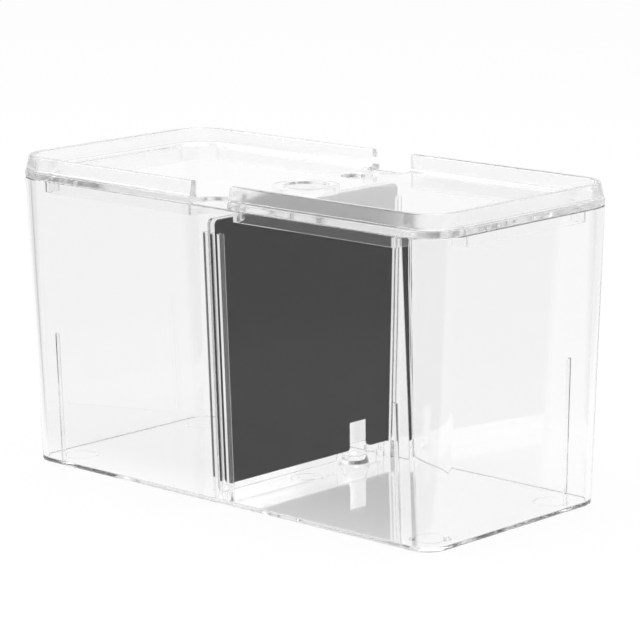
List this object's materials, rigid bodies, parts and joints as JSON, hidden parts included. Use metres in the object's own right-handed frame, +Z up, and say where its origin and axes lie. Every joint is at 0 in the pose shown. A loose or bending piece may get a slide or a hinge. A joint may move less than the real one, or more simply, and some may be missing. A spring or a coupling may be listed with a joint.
{
  "type": "fish breeding box",
  "caption": "Clear moulded tank that tapers to its base, with a lift-off lid with feeding and air line holes, and clear and dark sheets that slide into guide ribs to part it in two.",
  "frame": {"origin": "middle of the tank's base, on the surface it stands on", "axes": "+X along the tank towards the dark divider's side, +Y across it towards the air line's hole, +Z up"},
  "size_m": [0.2036, 0.0966, 0.1127],
  "materials": {
    "clear_polystyrene": "clear injection-moulded polystyrene, glossy",
    "dark_polystyrene": "dark grey injection-moulded polystyrene, glossy"
  },
  "bodies": {
    "tank": {"tank": "clear_polystyrene"},
    "lid": {"lid": "clear_polystyrene"},
    "clear_divider": {"clear_divider": "clear_polystyrene"},
    "dark_divider": {"dark_divider": "dark_polystyrene"}
  },
  "joints": [
    {"name": "lid_lift", "type": "slide", "parent": "tank", "child": "lid", "axis": [0, 0, 1], "range_m": [0, 0.16]},
    {"name": "clear_divider_slide", "type": "slide", "parent": "tank", "child": "clear_divider", "axis": [0, 0, 1], "range_m": [0, 0.056]},
    {"name": "dark_divider_slide", "type": "slide", "parent": "tank", "child": "dark_divider", "axis": [0, 0, 1], "range_m": [0, 0.088]}
  ],
  "couplings": [
    {"joint": "clear_divider_slide", "follows": "lid_lift", "ratio": 0.35},
    {"joint": "dark_divider_slide", "follows": "lid_lift", "ratio": 0.55}
  ]
}
